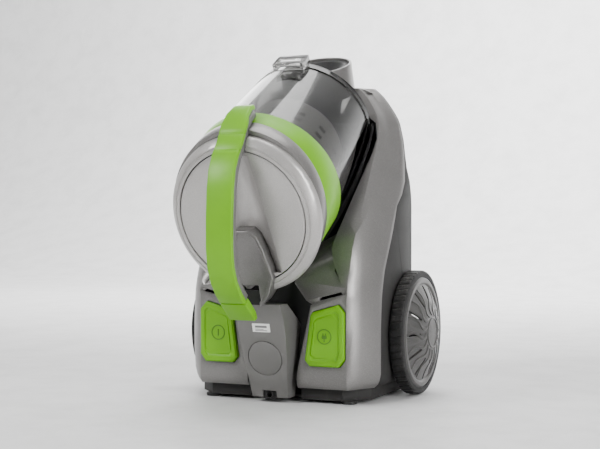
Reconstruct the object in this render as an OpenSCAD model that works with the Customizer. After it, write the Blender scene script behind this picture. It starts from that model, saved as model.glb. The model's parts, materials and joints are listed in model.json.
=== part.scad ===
// Bagless canister vacuum cleaner, parked upright on its rear end.
// +Z is the cleaner's forward direction, -Y is its top side, +X is its right side.
// The origin is at the middle of the base, on the surface the cleaner stands on.

/* [Body] */
// Width of the body between the wheels
body_w = 246; // [236:1:300]
// Height of the body shells, without the hose nose
body_h = 380; // [372:1:460]
// Distance of the floor side of the base from the origin plane
body_back = 210; // [204:1:250]
// Wall thickness of the body mouldings
wall = 3; // [2:0.1:4]
// Height of the rubber feet under the base
foot_h = 4; // [2:0.5:6]

/* [Wheels] */
// Radius of a rear wheel over its tyre
wheel_r = 76; // [62:1:92]
// Width of a rear tyre
tyre_w = 17; // [12:0.5:24]
// Radial thickness of a tyre
tyre_t = 8; // [6:0.5:10]
// Height of the hub dome above the tyre
dome_h = 14; // [8:0.5:20]
// Radius of a rear stub axle
axle_r = 5; // [4:0.1:7]
// Radius of the front caster wheel
caster_r = 12; // [9:0.5:13]

/* [Bin] */
// Largest radius of the dust bin, at the green band
bin_r = 90; // [80:0.5:91]
// Radius of the dust bin at its door
bin_end_r = 80; // [70:0.5:81]
// Length of the dust bin behind the cap face
bin_l = 222; // [190:1:224]
// Tilt of the bin axis above the horizontal
bin_tilt = 32; // [28:0.5:34]
// Tilt of the cap face
cap_tilt = 17; // [14:0.5:20]
// Wall thickness of the clear bin
bin_wall = 2.4; // [2:0.1:3]
// Radius of the inner cap panel
cap_r = 77; // [60:0.5:78]
// Radius of the cyclone shroud
shroud_r = 60; // [44:0.5:66]

/* [Handle and latch] */
// Width of the handle strap
handle_w = 32; // [24:0.5:36]
// Travel of the release button
button_travel = 3; // [2:0.5:4]

/* [Pedals] */
// Travel of a foot pedal
pedal_travel = 4; // [3:0.5:6]
// Height of a pedal above its deck
pedal_proud = 5; // [4.5:0.5:8]

/* [Hose socket] */
// Radius of the bore that takes the hose cuff
hose_r = 25; // [18:0.5:27]
// Length of the hose bore
hose_l = 24; // [16:1:28]
// Outer radius of the hose nose
nose_r = 46; // [40:0.5:48]

/* [Motor and cord reel] */
// Radius of the motor can
motor_r = 40; // [32:1:42]
// Radius of the fan housing
fan_r = 50; // [46:1:52]
// Radius of the cord reel flanges
reel_r = 56; // [46:1:58]
// Distance between the cord reel flanges
reel_gap = 34; // [24:1:36]

/* [Hidden] */
$fn = 96;
eps = 0.01;
big = 600;
// Radial clearance of a shaft in its hole
run_gap = 0.05;
// Clearance between parts that move past each other
free_gap = 0.8;
// Gap between a wheel and the body
wheel_gap = 1.5;
half_w = body_w / 2;

// Places of the bin: the middle of the cap face
cap_y = -63;
cap_z = 218;
cap_edge_r = bin_r + 3;
cap_depth = 14;
collar_depth = 31;
band_end = 80;
door_t = 4;
door_gap = 0.4;
// Door hinge: distance of its pin from the bin axis, and its width
hinge_p = bin_end_r + 5.4;
hinge_s = bin_l + 1;
hinge_w = 38;
pin_r = 1.5;
knuckle_r = 3.2;
end_s = bin_l + door_gap + door_t;
nest_gap = 1.5;

// Places of the wheels and the caster
wheel_y = 152;
wheel_z = wheel_r + 0.3;
wheel_x = half_w + wheel_gap;
floor_y = wheel_y + wheel_r;
caster_z = body_h - 58;
caster_x = 0;

// Places of the decks, the pedals and the middle panel
deck_y = 17;
deck_in = 32;
deck_out = half_w - 28;
panel_tilt = 16.3;
panel_z0 = 48.5;
panel_top = 118;
panel_disc_z = 53.5;
label_z = 90;
panel_disc_r = 21;
channel_y = 40;
channel_floor_y = 33;
panel_back = channel_floor_y - 0.3;

// Places of the motor and the reel
motor_x = -57;
motor_y = 122;
motor_z = 44;
motor_h = 78;
fan_h = 34;
reel_x = 50;
reel_y = 128;
reel_z = 78;
flange_t = 2.5;

// Hose nose
nose_tilt = 20;
nose_y = 147;
nose_z = body_h + 29;
nose_l = 40;
hose_in = 12;
seal_t = 3;

// Frames -------------------------------------------------------------------

// Local z runs along the bin axis away from the cap, local y points down
module bin_frame() translate([0, cap_y, cap_z]) rotate([bin_tilt - 90, 0, 0]) children();

// Local z runs into the cap, square to its face
module cap_frame() translate([0, cap_y, cap_z]) rotate([cap_tilt - 90, 0, 0]) children();

// Local z runs out of the hose mouth
module nose_frame() translate([0, nose_y, nose_z]) rotate([nose_tilt, 0, 0]) children();

module behind_cap(depth) cap_frame() translate([-big / 2, -big / 2, depth]) cube(big);

// Extrude an outline drawn in X and Z from y0 to y1
module along_y(y0, y1) translate([0, y1, 0]) rotate([90, 0, 0]) linear_extrude(y1 - y0) children();

// Extrude an outline drawn in Y and Z across the body, centred on X
module across_x(w) rotate([90, 0, 90]) translate([0, 0, -w / 2]) linear_extrude(w) children();

module both_sides() {
  children();
  mirror([1, 0, 0]) children();
}

module tube(r_out, r_in, h) {
  difference() {
    cylinder(r = r_out, h = h);
    translate([0, 0, -eps]) cylinder(r = r_in, h = h + 2 * eps);
  }
}

// Skin a list of rings that all have the same number of points
module loft(rings) {
  n = len(rings[0]);
  m = len(rings);
  sides = [
    for (i = [0 : m - 2], j = [0 : n - 1], k = [0 : 1])
      k == 0
        ? [i * n + j, (i + 1) * n + (j + 1) % n, i * n + (j + 1) % n]
        : [i * n + j, (i + 1) * n + j, (i + 1) * n + (j + 1) % n]
  ];
  lids = [[for (j = [0 : n - 1]) j], [for (j = [n - 1 : -1 : 0]) (m - 1) * n + j]];
  polyhedron([for (r = rings) for (p = r) p], concat(sides, lids));
}

// Body outline, seen from the top side of the cleaner ------------------------

module body_outline(inset = 0) {
  low_r = 14;
  mid_r = 60;
  top_r = 40;
  hull() {
    both_sides() translate([half_w - low_r - 4, 4 + low_r]) circle(r = low_r - inset);
    both_sides() translate([half_w - low_r, 44]) circle(r = low_r - inset);
    both_sides() translate([half_w - mid_r, body_h - 100]) circle(r = mid_r - inset);
    both_sides() translate([half_w - 72, body_h - top_r]) circle(r = top_r - inset);
  }
}

// Smooth curve through a table of [z, value] rows, flat at turning points
function curve(z, table) =
  let (
    last = len(table) - 1,
    i = max(0, min(last - 1, len([for (row = table) if (row[0] <= z) 1]) - 1)),
    step = table[i + 1][0] - table[i][0],
    t = max(0, min(1, (z - table[i][0]) / step)),
    m0 = curve_slope(table, i) * step,
    m1 = curve_slope(table, i + 1) * step
  )
  table[i][1] * (2 * pow(t, 3) - 3 * pow(t, 2) + 1) + m0 * (pow(t, 3) - 2 * pow(t, 2) + t)
  + table[i + 1][1] * (3 * pow(t, 2) - 2 * pow(t, 3)) + m1 * (pow(t, 3) - pow(t, 2));

function row_slope(table, i) = (table[i + 1][1] - table[i][1]) / (table[i + 1][0] - table[i][0]);

// Slope at a row: the harmonic mean of the slopes on its two sides
function curve_slope(table, i) =
  let (
    last = len(table) - 1,
    a = row_slope(table, max(0, i - 1)),
    b = row_slope(table, min(last - 1, i))
  )
  a * b <= 0 ? 0 : 2 * a * b / (a + b);

// Cut the corners of an open line once
function corners_cut(line) = concat(
  [line[0]],
  [for (i = [1 : len(line) - 2]) each [
    line[i] * 0.7 + line[i - 1] * 0.3,
    line[i] * 0.7 + line[i + 1] * 0.3
  ]],
  [line[len(line) - 1]]
);

// Half width of the body at a height
function side_x(z) = half_w - curve(z, [
  [18, 9], [23, 4], [32, 1], [44, 0], [body_h - 130, 0], [body_h - 101, 4], [body_h - 70, 10],
  [body_h - 44, 18], [body_h - 25, 30], [body_h - 8, 44], [body_h, 54]
]);

// Distance of the inner rim of a fender from the middle plane at a height
function rim_x(z) = z > 155
  ? curve(z, [
    [155, 79], [181, 69], [219, 75], [262, 84], [314, bin_r + 3],
    [body_h - 46, bin_r - 3], [body_h - 34, 60], [body_h - 28, 1], [body_h, 1]
  ])
  : lookup(z, [[18, deck_in], [34, deck_in], [116, 50], [124, 74], [130, deck_out - 1], [155, 79]]);

// Front surface of the fenders at a height
function rim_y(z) = curve(z, [
  [18, deck_y + 4], [22, deck_y + 1], [30, deck_y], [130, deck_y], [155, 26],
  [181, 35], [219, 60], [262, 88], [314, 121], [body_h - 28, 143], [body_h, 155]
]);

// Parting line between the upper shell and the base, seen from the side
function parting_y(z) = curve(z, [
  [18, 58], [75, 55], [120, 58], [151, 66], [180, 83], [208, 100], [237, 114], [249, 134],
  [262, 142], [314, 162], [body_h, 176]
]);

// Outer and inner outline of a fender at a height
function fender_ring(z) =
  let (
    x0 = rim_x(z),
    x3 = side_x(z),
    y0 = rim_y(z),
    y3 = parting_y(z),
    x1 = max(x0 + 2, min(deck_out, x3 - 14)),
    x2 = x3 - 9,
    y2 = y0 + (y3 - y0) * 0.52,
    outer = [
      [x1, y0, z], [(x1 + x2) / 2, y0 + (y2 - y0) * 0.38, z], [x2, y2, z],
      [x3 - 2, y2 + (y3 - y2) * 0.62, z], [x3, y3, z]
    ]
  )
  concat([[x0, y0, z]], corners_cut(outer), [
    [x3 - wall, y3, z],
    [x3 - wall - 2, y2 + (y3 - y2) * 0.62 + 1, z],
    [x2 - wall, y2 + 1.5, z],
    [(x1 + x2) / 2 - wall, y0 + (y2 - y0) * 0.38 + wall, z],
    [x1 - wall + 2, y0 + wall + 1, z],
    [x0, y0 + wall + 1, z]
  ]);

fender_levels = [
  18, 22, 26, 34, 60, 90, 116, 124, 130, 142, 155, 168, 181, 199, 219, 232, 245, 262, 279, 296, 314,
  body_h - 46, body_h - 40, body_h - 34, body_h - 28, body_h - 18, body_h - 10, body_h - 4, body_h
];

// Casings --------------------------------------------------------------------

// Floor side of the base at a height, and the half width it has there
function floor_side_y(z) = lookup(z, [
  [foot_h, body_back - 14], [18, body_back], [236, body_back], [body_h, body_back - 22]
]);
function floor_side_x(z) = side_x(z) - lookup(z, [[foot_h, 22], [220, 22], [300, 20], [body_h, 24]]);

base_levels = [for (z = fender_levels) if (z > 18) z];

// Outline of the base at a height, moved inwards by a wall
function base_ring(z, inset) =
  let (
    xs = side_x(z) - inset,
    xb = floor_side_x(z) - inset,
    yp = inset > 0 ? 0 : parting_y(z) + 0.3,
    yb = floor_side_y(z) - inset,
    ym = yb - 46
  )
  [
    [xs, yp, z], [xs, max(ym, yp + 3), z], [xb, yb, z],
    [-xb, yb, z], [-xs, max(ym, yp + 3), z], [-xs, yp, z]
  ];

// Plinth under the base, drawn in X and Y
module plinth_outline(inset) {
  half = half_w - 12 - inset;
  front = 29 + inset;
  back = body_back - 16 - inset;
  polygon([
    [-half + 26, front], [half - 26, front], [half, front + 27], [half, back - 12], [half - 12, back],
    [-half + 12, back], [-half, back - 12], [-half, front + 27]
  ]);
}

module base_shell() color([0.33, 0.33, 0.32]) {
  floor_z = 17.5;
  difference() {
    union() {
      loft([for (z = concat([floor_z], base_levels)) base_ring(z, 0)]);
      translate([0, 0, foot_h]) linear_extrude(floor_z + 0.2 - foot_h) plinth_outline(0);
    }
    loft([for (z = concat([floor_z + wall], base_levels)) base_ring(min(z, body_h - wall), wall)]);
    translate([0, 0, foot_h + wall]) linear_extrude(40) plinth_outline(wall);
    // Room for the middle panel
    translate([-33, 0, 0]) cube([66, 45, 60]);
    // Holes of the stub axles
    translate([-big / 2, wheel_y, wheel_z]) rotate([0, 90, 0]) cylinder(r = axle_r, h = big);
    // Seat of the caster socket
    at_caster() translate([0, 0, -wall - 12]) cylinder(r = 12, h = wall + 14);
    // Exhaust opening on the floor side
    translate([motor_x - 36, body_back - wall - 1, 60]) cube([72, wall + 2, 70]);
    at_screws() {
      cylinder(r = 1.8 + run_gap, h = 20);
      translate([0, 0, -4]) cylinder(r = 3.6, h = 5.6);
    }
    // Opening of the hose nose
    nose_frame() translate([0, 0, -nose_l - 30]) cylinder(r = nose_r + 0.3, h = nose_l + 60);
  }
}

module upper_shell() color([0.62, 0.62, 0.61]) {
  difference() {
    union() {
      both_sides() loft([for (z = fender_levels) fender_ring(z)]);
      // Cheeks of the middle channel, and the bar that joins them
      both_sides() along_y(deck_y + 0.6, channel_y) polygon([
        [deck_in + 0.2, 24.3], [deck_in + wall, 24.3], [deck_in + wall, 34],
        [53, 115], [50.3, 115], [deck_in + 0.2, 34]
      ]);
      translate([-deck_in - 1, channel_y - wall - 0.4, 24.6]) cube([2 * deck_in + 2, wall, 7.4]);
      // Foot of the decks
      both_sides() translate([deck_in + 0.4, deck_y + 5, 18.4]) cube([deck_out - deck_in - 1, 6.5, 8]);
      // Strip that joins the two fenders above the bin
      across_x(6) polygon([
        [rim_y(body_h - 28) + 0.5, body_h - 27.5], [rim_y(body_h) + 0.5, body_h - 0.6],
        [rim_y(body_h) + wall, body_h - 0.6], [rim_y(body_h - 28) + wall, body_h - 27.5]
      ]);
      // Bulkhead across the top, behind the nose
      along_y(157, 174) intersection() {
        body_outline(0.6);
        translate([-big / 2, body_h - 6]) square([big, 6]);
      }
      // Ledges between the decks and the cradle, and the aprons that rise from them
      both_sides() hull() {
        along_y(deck_y + 1, deck_y + 3)
          polygon([[44, 121], [53, 116], [deck_out, 131], [deck_out - 2, 136]]);
        along_y(30, 32.6) polygon([[24, 140], [75, 152], [75, 156], [24, 144]]);
      }
      difference() {
        both_sides() hull() {
          along_y(29.8, 32.4) polygon([[24, 140], [75, 152], [75, 156], [24, 144]]);
          along_y(53, 55.6) polygon([[26, 172], [82, 202], [82, 206], [26, 176]]);
        }
        cradle_envelope(0.3);
      }
    }
    both_sides() pedal_shape(deck_y - 2, deck_y + 40, free_gap);
    // Vent slots above the decks
    both_sides() along_y(deck_y - 1, deck_y + 9) polygon([[60, 121], [90, 129], [88, 132], [62, 125]]);
    nest_cut();
    nose_frame() translate([0, 0, -nose_l - 30]) cylinder(r = nose_r + 0.3, h = nose_l + 60);
  }
}

// Space that the bin needs, with its clearance
module nest_cut() {
  bin_frame() {
    translate([0, 0, -20]) cylinder(r = cap_edge_r + nest_gap, h = 20 + band_end + 4);
    translate([0, 0, band_end + 3]) {
      cylinder(r1 = bin_r + nest_gap, r2 = bin_end_r + nest_gap + 0.5, h = end_s - band_end + nest_gap - 3);
    }
    // Room for the door hinge
    translate([-hinge_w / 2 - 2, 0, bin_l - 14]) cube([hinge_w + 4, hinge_p + 8, end_s - bin_l + 16]);
  }
}

// Outer surface of the cradle
module cradle_envelope(grow) bin_frame() {
  translate([0, 0, 40]) cylinder(r = cap_edge_r + nest_gap + wall + grow, h = band_end - 36);
  translate([0, 0, band_end + 3]) cylinder(
    r1 = cap_edge_r + nest_gap + wall + grow,
    r2 = bin_end_r + nest_gap + wall + grow,
    h = end_s + nest_gap + wall + grow - band_end - 3
  );
}

module cradle() color([0.2, 0.2, 0.2]) {
  rim = concat(
    [for (z = [150, 181, 219, 262, 314, body_h - 28]) [rim_y(z) + wall + 1.4, z]],
    [[body_back - 30, body_h - 28], [body_back - 30, 150]]
  );
  difference() {
    union() {
      intersection() {
        cradle_envelope(0);
        across_x(body_w) polygon(rim);
        along_y(0, body_back) body_outline(wall + 0.6);
      }
      // Floor of the middle channel
      along_y(channel_floor_y, channel_floor_y + 2.4) polygon([
        [-31, 32.4], [31, 32.4], [46, 112], [44, 136], [22, 139], [22, 176],
        [-22, 176], [-22, 139], [-44, 136], [-46, 112]
      ]);
    }
    nest_cut();
    nose_frame() translate([0, 0, -nose_l - 30]) cylinder(r = nose_r + 0.3, h = nose_l + 60);
    inlet_port(1);
    outlet_port(1);
  }
}

// Middle panel -----------------------------------------------------------------

function panel_y(z) = (panel_z0 - z) * tan(panel_tilt);

module panel_outline(inset = 0) {
  polygon([
    [-23 + inset, 6], [23 - inset, 6], [25 - inset, 30], [28 - inset, 55], [30 - inset, 80],
    [30 - inset, 100], [27 - inset, panel_top], [-27 + inset, panel_top], [-30 + inset, 100],
    [-30 + inset, 80], [-28 + inset, 55], [-25 + inset, 30]
  ]);
}

module centre_panel() color([0.55, 0.55, 0.54]) {
  difference() {
    intersection() {
      along_y(-60, panel_back) panel_outline();
      across_x(80) polygon([
        [panel_y(6), 6], [panel_y(panel_top), panel_top], [panel_y(panel_top) + 22, panel_top],
        [panel_back, 92], [panel_back, 6]
      ]);
    }
    // Hollow behind the skin
    intersection() {
      along_y(-60, channel_y) panel_outline(wall);
      across_x(80) polygon([
        [panel_y(20) + wall, 20], [panel_y(panel_top - wall) + wall, panel_top - wall],
        [panel_y(panel_top) + 20, panel_top - wall], [channel_y, 80], [channel_y, 20]
      ]);
    }
    panel_face(panel_disc_z) cylinder(r = panel_disc_r + 0.8, h = 3, center = true);
    panel_face(label_z) cube([23, 11, 1.2], center = true);
    // Mouth of the cord gland
    translate([-9, 0, 0]) cube([18, 60, 14.4]);
  }
}

// Put something on the face of the middle panel at a height
module panel_face(z) translate([0, panel_y(z), z]) rotate([90 + panel_tilt, 0, 0]) children();

module panel_disc() color([0.56, 0.56, 0.55]) {
  panel_face(panel_disc_z) translate([0, 0, -1.4]) cylinder(r = panel_disc_r, h = 1.8);
}

module rating_label() color([0.95, 0.95, 0.94]) {
  panel_face(label_z) cube([22.4, 10.4, 0.8], center = true);
}

module cord_gland() color([0.08, 0.08, 0.08]) {
  difference() {
    union() {
      translate([-8.5, panel_y(8) + 1, foot_h + 1]) cube([17, 22, 9]);
      translate([-5, panel_y(8) - 1.5, foot_h + 2.5]) cube([10, 4, 6]);
    }
    translate([0, 60, foot_h + 5.5]) rotate([90, 0, 0]) cylinder(r = 3.2, h = 80);
  }
}

module rear_feet() color([0.1, 0.1, 0.1]) {
  both_sides() {
    translate([half_w - 34, 40, 0]) cylinder(r = 9, h = foot_h - 0.05);
    translate([half_w - 34, body_back - 30, 0]) cylinder(r = 9, h = foot_h - 0.05);
  }
}

// Hose nose ----------------------------------------------------------------------

// Region that the bin door leaves free
module beyond_door(gap) bin_frame() translate([-big / 2, -big / 2, end_s + gap]) cube(big);

module nose_collar() color([0.6, 0.6, 0.59]) {
  intersection() {
    nose_frame() difference() {
      translate([0, 0, -nose_l]) cylinder(r = nose_r, h = nose_l);
      translate([0, 0, -nose_l - 1]) cylinder(r = nose_r - wall, h = nose_l + 2);
    }
    beyond_door(2);
  }
}

module hose_socket() color([0.09, 0.09, 0.09]) {
  intersection() {
    nose_frame() difference() {
      union() {
        translate([0, 0, -hose_in - 4]) cylinder(r = nose_r - wall - 0.1, h = hose_in + 1);
        translate([0, 0, -hose_in - hose_l]) cylinder(r = hose_r + wall, h = hose_l);
      }
      translate([0, 0, -hose_in]) cylinder(r1 = hose_r, r2 = nose_r - wall - 2, h = hose_in + 1);
      translate([0, 0, -hose_in - hose_l - 1]) cylinder(r = hose_r, h = hose_l + 2);
    }
    union() {
      beyond_door(2);
      nose_frame() translate([0, 0, -hose_in - hose_l - 1]) cylinder(r = hose_r + wall + 1, h = hose_l);
    }
  }
}

module socket_seal() color([0.15, 0.15, 0.15]) {
  nose_frame() translate([0, 0, -hose_in - hose_l - seal_t]) tube(hose_r + wall, hose_r - 1.5, seal_t);
}

// Air path -------------------------------------------------------------------------

// Inlet in the wall of the bin, near the door
inlet_s = bin_l - 23;
port_r = 15;

module inlet_port(grow = 0) {
  bin_frame() translate([0, 0, inlet_s]) rotate([-90, 0, 0]) cylinder(r = port_r + grow, h = bin_r + 30);
}

module outlet_port(grow = 0) {
  bin_frame() translate([0, 0, 66]) rotate([-90, 0, 0]) cylinder(r = port_r + grow, h = bin_r + 14);
}

// Pipe from the hose socket round the end of the bin to its inlet
module inlet_path(r_socket, r_bend, r_port, over) {
  bend = [0, floor_side_y(body_h - 68) - 24, body_h - 68];
  hull() {
    nose_frame() translate([0, 0, -hose_in - hose_l - seal_t - 4])
      cylinder(r = r_socket, h = 4 + over, $fn = 32);
    translate(bend) sphere(r = r_bend, $fn = 32);
  }
  hull() {
    translate(bend) sphere(r = r_bend, $fn = 32);
    bin_frame() translate([0, bin_at(inlet_s) + nest_gap + 6.5 - over, inlet_s]) rotate([-90, 0, 0]) {
      cylinder(r = r_port, h = 4 + over, $fn = 32);
    }
  }
}

module inlet_duct() color([0.22, 0.22, 0.23]) {
  difference() {
    inlet_path(hose_r + wall - 0.5, 17, port_r + 3, 0);
    inlet_path(hose_r - 1, 14.5, port_r, 1);
    cradle_envelope(0.2);
    bin_frame() translate([-hinge_w / 2 - 4, 0, bin_l - 11])
      cube([hinge_w + 8, hinge_p + 8, end_s - bin_l + 16]);
  }
}

// Pipe from the collar of the bin to the eye of the fan
module outlet_path(r_bin, r_fan, over) {
  hull() {
    bin_frame() translate([0, cap_edge_r + nest_gap + 3.5 - over, 66]) rotate([-90, 0, 0]) {
      cylinder(r = r_bin, h = 4 + over, $fn = 48);
    }
    at_motor() translate([0, 0, motor_h + fan_h + 0.2 - over]) cylinder(r = r_fan, h = 4 + over, $fn = 48);
  }
}

module outlet_duct() color([0.24, 0.24, 0.25]) {
  difference() {
    outlet_path(port_r + 3, 22, 0);
    outlet_path(port_r, 19, 1);
    cradle_envelope(0.2);
    // Clear of the channel floor
    translate([-50, channel_floor_y - 1, 0]) cube([100, 3.6, 180]);
  }
}

// Motor ------------------------------------------------------------------------------

module at_motor() translate([motor_x, motor_y, motor_z]) children();

module motor_can() color("silver") at_motor() {
  difference() {
    union() {
      cylinder(r = motor_r, h = motor_h);
      translate([0, 0, -8]) cylinder(r = 14, h = 8);
    }
    translate([0, 0, 2]) cylinder(r = motor_r - 2, h = motor_h);
    translate([0, 0, -9]) cylinder(r = 4 + run_gap, h = 20);
    for (a = [0 : 60 : 300]) {
      rotate([0, 0, a]) translate([motor_r - 4, -7, 12]) cube([8, 14, 40]);
    }
  }
}

module fan_cover() color([0.7, 0.7, 0.7]) at_motor() translate([0, 0, motor_h]) {
  difference() {
    cylinder(r = fan_r, h = fan_h);
    translate([0, 0, 2]) cylinder(r = fan_r - 2, h = fan_h - 4);
    translate([0, 0, -1]) cylinder(r = 4 + run_gap, h = 10);
    translate([0, 0, fan_h - 5]) cylinder(r = 18, h = 10);
    for (a = [0 : 45 : 315]) {
      rotate([0, 0, a + 22]) translate([fan_r - 10, -3, -1]) cube([6, 6, 6]);
    }
  }
}

module motor_mounts() color([0.12, 0.12, 0.12]) at_motor() {
  translate([0, 0, -10]) difference() {
    cylinder(r = 20, h = 10);
    translate([0, 0, -1]) cylinder(r = 14.1, h = 12);
  }
  translate([0, 0, motor_h + 8]) difference() {
    cylinder(r = fan_r + 5, h = 14);
    translate([0, 0, -1]) cylinder(r = fan_r + 0.1, h = 16);
  }
}

module motor_shaft() color([0.8, 0.8, 0.82]) at_motor() {
  translate([0, 0, -7]) cylinder(r = 4, h = motor_h + fan_h - 4);
}

module armature() color([0.62, 0.4, 0.2]) at_motor() {
  difference() {
    union() {
      translate([0, 0, 24]) cylinder(r = 20, h = 34);
      translate([0, 0, 14]) cylinder(r = 12, h = 8);
      translate([0, 0, 21]) cylinder(r = 16, h = 40);
    }
    cylinder(r = 4, h = motor_h);
  }
}

module impeller() color([0.75, 0.76, 0.78]) at_motor() translate([0, 0, motor_h + 10]) {
  blade_n = 9;
  difference() {
    union() {
      cylinder(r = fan_r - 6, h = 2);
      translate([0, 0, 2 - eps]) cylinder(r = 8, h = 12);
      for (i = [0 : blade_n - 1]) {
        rotate([0, 0, i * 360 / blade_n]) translate([7, -1, 1]) cube([fan_r - 16, 2, 11]);
      }
    }
    translate([0, 0, -1]) cylinder(r = 4, h = 20);
  }
}

module exhaust_grille() color([0.25, 0.25, 0.25]) {
  translate([motor_x - 35.7, body_back - wall, 60.3]) difference() {
    cube([71.4, wall, 69.4]);
    for (i = [0 : 8]) {
      translate([5, -1, 5 + i * 7]) cube([61.4, wall + 2, 3.4]);
    }
  }
}

module exhaust_filter() color([0.85, 0.85, 0.82]) {
  translate([motor_x - 34, body_back - wall - 9, 62]) cube([68, 8.5, 66]);
}

module power_switch() color([0.12, 0.12, 0.12]) {
  translate([-80, deck_y + 26 + pedal_travel, 71]) cube([22, 12, 28]);
  translate([-74, deck_y + 21 + pedal_travel, 79]) cube([8, 6, 10]);
}

// Cord reel ---------------------------------------------------------------------------

module at_reel() translate([reel_x, reel_y, reel_z]) rotate([-90, 0, 0]) children();

module reel_axle() color([0.7, 0.7, 0.72]) at_reel() {
  translate([0, 0, -reel_gap / 2 - 16]) cylinder(r = 4, h = body_back - wall - reel_y + reel_gap / 2 + 16);
  translate([0, 0, -reel_gap / 2 - 16]) cylinder(r = 9, h = 3);
}

module reel_drum() color([0.3, 0.3, 0.32]) at_reel() {
  difference() {
    union() {
      translate([0, 0, -reel_gap / 2 - flange_t]) cylinder(r = reel_r, h = flange_t);
      translate([0, 0, reel_gap / 2]) cylinder(r = reel_r, h = flange_t);
      translate([0, 0, -reel_gap / 2 - 1]) cylinder(r = 24, h = reel_gap + 2);
    }
    translate([0, 0, -reel_gap]) cylinder(r = 4 + run_gap, h = 2 * reel_gap);
    for (a = [0 : 60 : 300]) {
      rotate([0, 0, a]) translate([38, 0, -reel_gap]) cylinder(r = 8, h = 2 * reel_gap);
    }
  }
}

module wound_cord() color([0.1, 0.1, 0.1]) at_reel() {
  cord_r = 3.2;
  pack_in = 24.2;
  difference() {
    translate([0, 0, -reel_gap / 2 + 0.2]) cylinder(r = reel_r - 5, h = reel_gap - 0.4);
    translate([0, 0, -reel_gap]) cylinder(r = pack_in, h = 2 * reel_gap);
    for (i = [0 : 3]) {
      translate([0, 0, -reel_gap / 2 + (i + 1) * 2.1 * cord_r]) rotate_extrude() {
        translate([reel_r - 4.6, 0]) circle(r = 1.2, $fn = 16);
      }
    }
  }
}

module reel_spring_case() color([0.45, 0.45, 0.47]) at_reel() {
  translate([0, 0, reel_gap / 2 + flange_t + 0.3]) tube(26, 4 + run_gap, 8);
}

module brake_lever() color([0.8, 0.45, 0.15]) {
  // Arm above the reel, with its pad just clear of the flange
  translate([reel_x - 4, deck_y + 22 + pedal_travel, reel_z + 26]) {
    cube([8, reel_y - reel_gap / 2 - flange_t - deck_y - 27 - 2 * pedal_travel, 8]);
  }
  translate([reel_x - 9, deck_y + 22 + pedal_travel, reel_z - 4]) cube([18, 5, 39]);
}

// Pedals ---------------------------------------------------------------------------------

// Corners of the right pedal: x, z and the direction in which a clearance moves them
pedal_points = [
  [44, 52, -1, 0], [50, 45, -1, -1], [86, 45, 1, -1], [93, 54, 1, -1],
  [93, 108, 1, 1], [85, 117, 1, 1], [54, 108, -1, 1], [51, 104, -1, 1]
];

module pedal_shape(y0, y1, grow) {
  along_y(y0, y1) polygon([for (p = pedal_points) [p[0] + p[2] * grow, p[1] + p[3] * grow]]);
}

module pedal_body() {
  difference() {
    union() {
      pedal_shape(deck_y - pedal_proud + 1.2, deck_y + 14, 0);
      pedal_shape(deck_y - pedal_proud, deck_y, -1.2);
      pedal_shape(deck_y + 8, deck_y + 10, 0);
      translate([64, deck_y, 74]) cube([12, 20, 10]);
    }
    difference() {
      pedal_shape(deck_y - pedal_proud + 3, deck_y + 20, -3);
      translate([64, deck_y - 9, 74]) cube([12, 40, 10]);
    }
    // Shallow field inside the raised border
    along_y(deck_y - pedal_proud - 1, deck_y - pedal_proud + 0.8) {
      polygon([[52, 52], [84, 52], [87, 57], [87, 106], [83, 109], [58, 102]]);
    }
  }
}

module icon_place(z) translate([69, deck_y - pedal_proud + 0.8, z]) rotate([90, 0, 0]) children();

module rewind_pedal() color([0.56, 0.75, 0.26]) pedal_body();

module power_pedal() color([0.56, 0.75, 0.26]) mirror([1, 0, 0]) pedal_body();

// Ring with a short bar: on and off
module power_icon() color([0.4, 0.55, 0.15]) mirror([1, 0, 0]) icon_place(80) {
  tube(9, 7.8, 0.5);
  translate([-0.8, -4, 0]) cube([1.6, 8, 0.5]);
}

// Ring with a small plug: wind the cord in
module rewind_icon() color([0.4, 0.55, 0.15]) icon_place(80) {
  tube(9, 7.8, 0.5);
  translate([-3, -2.5, 0]) cube([6, 4, 0.5]);
  translate([-2.2, 1, 0]) cube([1.2, 3, 0.5]);
  translate([1, 1, 0]) cube([1.2, 3, 0.5]);
  translate([-0.6, -6, 0]) cube([1.2, 4, 0.5]);
}

module pedal_springs() color([0.75, 0.75, 0.78]) both_sides() {
  for (i = [0 : 3]) {
    translate([58, deck_y + 18 + pedal_travel + i * 2.6, 62]) rotate([90, 0, 0]) {
      rotate_extrude() translate([6, 0]) circle(r = 0.8, $fn = 16);
    }
  }
  translate([58, deck_y + 40, 62]) rotate([90, 0, 0]) cylinder(r = 4, h = 19 - pedal_travel);
}

// Wheels -----------------------------------------------------------------------------------

module at_wheel() translate([wheel_x, wheel_y, wheel_z]) rotate([0, 90, 0]) children();

module stub_axles() color([0.7, 0.7, 0.72]) both_sides() {
  root = 12;
  translate([half_w - root, wheel_y, wheel_z]) rotate([0, 90, 0]) {
    cylinder(r = axle_r, h = root + wheel_gap + tyre_w + 3);
    cylinder(r = axle_r + 4, h = root - wall - 0.4);
    translate([0, 0, root + 0.1]) cylinder(r = axle_r + 4, h = 1.2);
  }
}

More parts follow.
